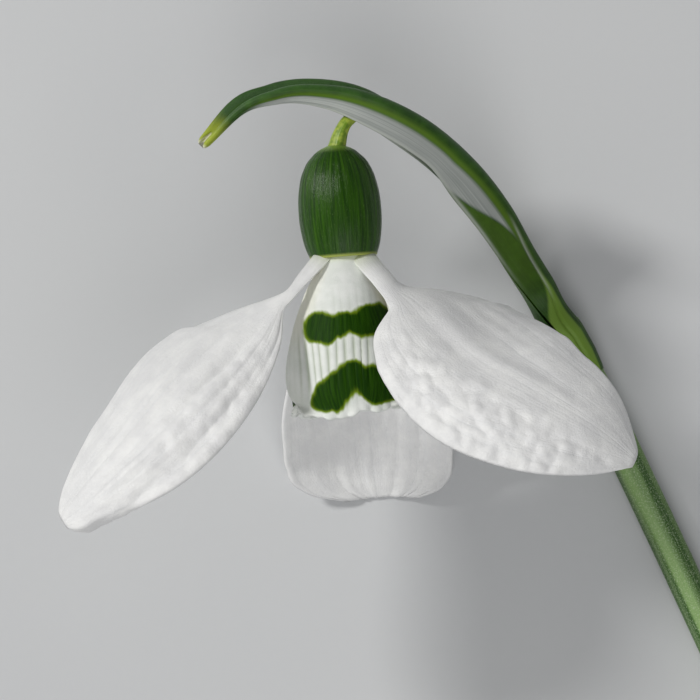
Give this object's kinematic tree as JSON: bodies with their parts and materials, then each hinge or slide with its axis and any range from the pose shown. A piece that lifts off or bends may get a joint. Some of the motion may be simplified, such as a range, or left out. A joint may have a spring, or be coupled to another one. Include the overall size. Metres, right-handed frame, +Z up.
{
  "type": "snowdrop flower",
  "caption": "Cut snowdrop lying on its back: round stalk, arched green hood, egg-shaped ovary, long white outer petals and a short inner bell with green marks.",
  "frame": {"origin": "on the surface that the flower lies on, under the middle of its box", "axes": "+Z up from that surface; +Y along the hanging flower's axis, from its petals towards its hood; +X to the side that the stem lies on"},
  "size_m": [0.0742, 0.0878, 0.0326],
  "materials": {
    "stem_green": "satin",
    "spathe_green": "satin",
    "pedicel_green": "satin",
    "ovary_green": "satin",
    "petal_white": "satin",
    "inner_petal_white": "satin",
    "anther_orange": "matte",
    "style_white": "satin"
  },
  "bodies": {
    "root": {"stem": "stem_green", "spathe": "spathe_green", "pedicel": "pedicel_green", "ovary": "ovary_green", "outer_petal_left": "petal_white", "outer_petal_right": "petal_white", "outer_petal_back": "petal_white", "inner_petal_front": "inner_petal_white", "inner_petal_back_left": "inner_petal_white", "inner_petal_back_right": "inner_petal_white", "stamen_1": "anther_orange", "stamen_2": "anther_orange", "stamen_3": "anther_orange", "stamen_4": "anther_orange", "stamen_5": "anther_orange", "stamen_6": "anther_orange", "style": "style_white"}
  },
  "joints": []
}
